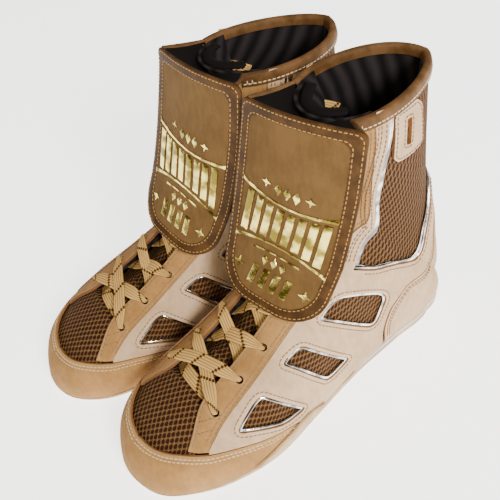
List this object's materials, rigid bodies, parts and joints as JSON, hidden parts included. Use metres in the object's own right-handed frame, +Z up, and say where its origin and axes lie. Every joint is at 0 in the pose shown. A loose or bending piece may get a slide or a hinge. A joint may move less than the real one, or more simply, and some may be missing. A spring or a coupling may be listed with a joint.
{
  "type": "boxing boots",
  "caption": "High-top boxing boots in suede and mesh, laced to the collar, with a fold-down flap over the laces, cut-out side windows and a thin flat rubber sole.",
  "frame": {"origin": "centre of the pair on the floor: bounding box centre in X and Y, Z=0 at the ground under the soles", "axes": "+Y from toes towards heels, +X towards the left boot (on the viewer's right when the toes point at the viewer), +Z up"},
  "size_m": [0.2188, 0.3066, 0.2241],
  "materials": {
    "suede": "tan suede, napped",
    "suede_pale": "pale tan suede, napped",
    "suede_flap": "brown tan suede, napped",
    "binding": "smooth tan tape",
    "flap_binding": "smooth caramel tape",
    "mesh": "open knitted mesh",
    "lining": "black woven padding",
    "tongue": "padded, mesh faced",
    "film": "metallised silver film",
    "gold": "metallised gold foil print",
    "lace": "flat woven lace",
    "gum": "matt gum rubber",
    "wedge": "matt cream foam rubber",
    "board": "fibre board",
    "stiffener": "thin stiffener sheet",
    "footbed": "foam with a cloth top"
  },
  "bodies": {
    "left_boot": {"left_ball_wrap": "gum", "left_collar_binding": "binding", "left_footbed": "footbed", "left_heel_foxing": "suede_pale", "left_heel_stiffener": "stiffener", "left_heel_wedge": "wedge", "left_lace": "lace", "left_lasting_board": "board", "left_outsole": "gum", "left_toe_mesh": "mesh", "left_toe_puff": "stiffener", "left_toe_rand": "suede", "left_tongue": "tongue", "left_vamp_lining": "lining", "left_lateral_eyestay": "suede", "left_lateral_lining": "lining", "left_lateral_mesh": "mesh", "left_lateral_overlay": "suede_pale", "left_lateral_patch": "suede_pale", "left_lateral_window_film": "film", "left_medial_eyestay": "suede", "left_medial_lining": "lining", "left_medial_mesh": "mesh", "left_medial_overlay": "suede_pale", "left_medial_patch": "suede_pale", "left_medial_window_film": "film"},
    "left_flap_body": {"left_flap": "suede_flap", "left_flap_binding": "flap_binding", "left_flap_emblem": "gold"},
    "right_boot": {"right_ball_wrap": "gum", "right_collar_binding": "binding", "right_footbed": "footbed", "right_heel_foxing": "suede_pale", "right_heel_stiffener": "stiffener", "right_heel_wedge": "wedge", "right_lace": "lace", "right_lasting_board": "board", "right_outsole": "gum", "right_toe_mesh": "mesh", "right_toe_puff": "stiffener", "right_toe_rand": "suede", "right_tongue": "tongue", "right_vamp_lining": "lining", "right_lateral_eyestay": "suede", "right_lateral_lining": "lining", "right_lateral_mesh": "mesh", "right_lateral_overlay": "suede_pale", "right_lateral_patch": "suede_pale", "right_lateral_window_film": "film", "right_medial_eyestay": "suede", "right_medial_lining": "lining", "right_medial_mesh": "mesh", "right_medial_overlay": "suede_pale", "right_medial_patch": "suede_pale", "right_medial_window_film": "film"},
    "right_flap_body": {"right_flap": "suede_flap", "right_flap_binding": "flap_binding", "right_flap_emblem": "gold"}
  },
  "joints": [
    {"name": "left_flap_fold", "type": "hinge", "parent": "left_boot", "child": "left_flap_body", "pos_m": [0.04962, 0.04591, 0.22326], "axis": [-0.943, -0.3302, -0.042], "range_deg": [0, 140]},
    {"name": "right_boot_lift", "type": "slide", "parent": "left_boot", "child": "right_boot", "axis": [0, 0, 1], "range_m": [0, 0.3]},
    {"name": "right_flap_fold", "type": "hinge", "parent": "right_boot", "child": "right_flap_body", "pos_m": [-0.03797, 0.02623, 0.22326], "axis": [-0.9876, -0.1511, -0.042], "range_deg": [0, 140]}
  ]
}
